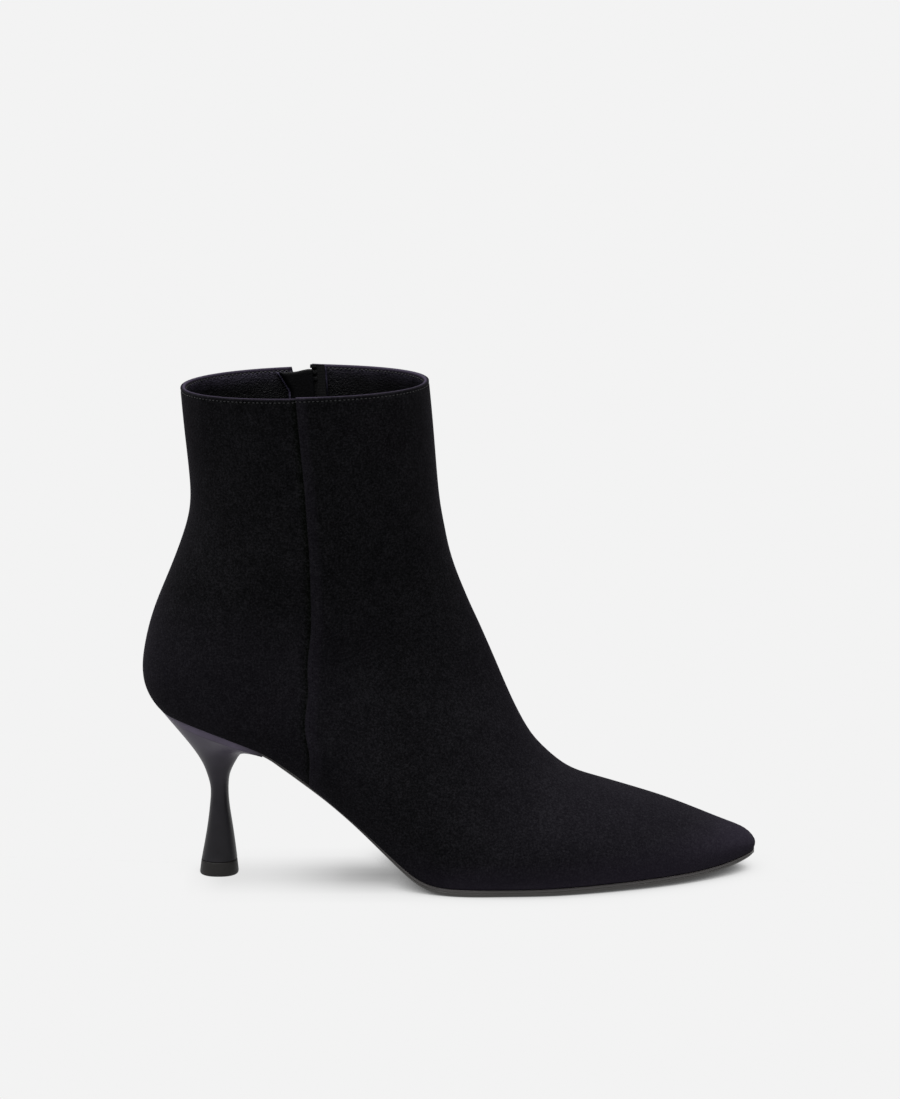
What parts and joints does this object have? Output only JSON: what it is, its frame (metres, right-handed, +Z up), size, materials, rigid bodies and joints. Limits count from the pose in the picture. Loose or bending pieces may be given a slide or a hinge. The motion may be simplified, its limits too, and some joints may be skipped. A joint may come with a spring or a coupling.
{
  "type": "ankle boot",
  "caption": "Pointed-toe ankle boot in dark suede on a tall waisted heel, with a lapped seam on the outer side and a zip with a swinging pull on the inner side.",
  "frame": {"origin": "on the floor, under the middle of the boot's bounding box", "axes": "+X towards the toe, +Y towards the inner side of the foot, +Z up"},
  "size_m": [0.2518, 0.079, 0.207],
  "materials": {
    "suede": "brushed nap, matt",
    "sole_leather": "waxed edge, satin",
    "heel_lacquer": "satin lacquer",
    "lift_rubber": "matt",
    "lining": "smooth grain",
    "zip_tape": "woven",
    "zip_metal": "dark enamel"
  },
  "bodies": {
    "boot": {"upper": "suede", "outsole": "sole_leather", "insole": "lining", "heel": "heel_lacquer", "top_lift": "lift_rubber", "zip_chain": "zip_tape", "zip_guard": "lining", "zip_slider": "zip_metal"},
    "pull": {"zip_pull": "zip_metal"}
  },
  "joints": [
    {"name": "pull_swing", "type": "hinge", "parent": "boot", "child": "pull", "pos_m": [-0.06046, 0.03725, 0.19503], "axis": [0.9999, 0.0112, 0], "range_deg": [-6, 170]}
  ]
}
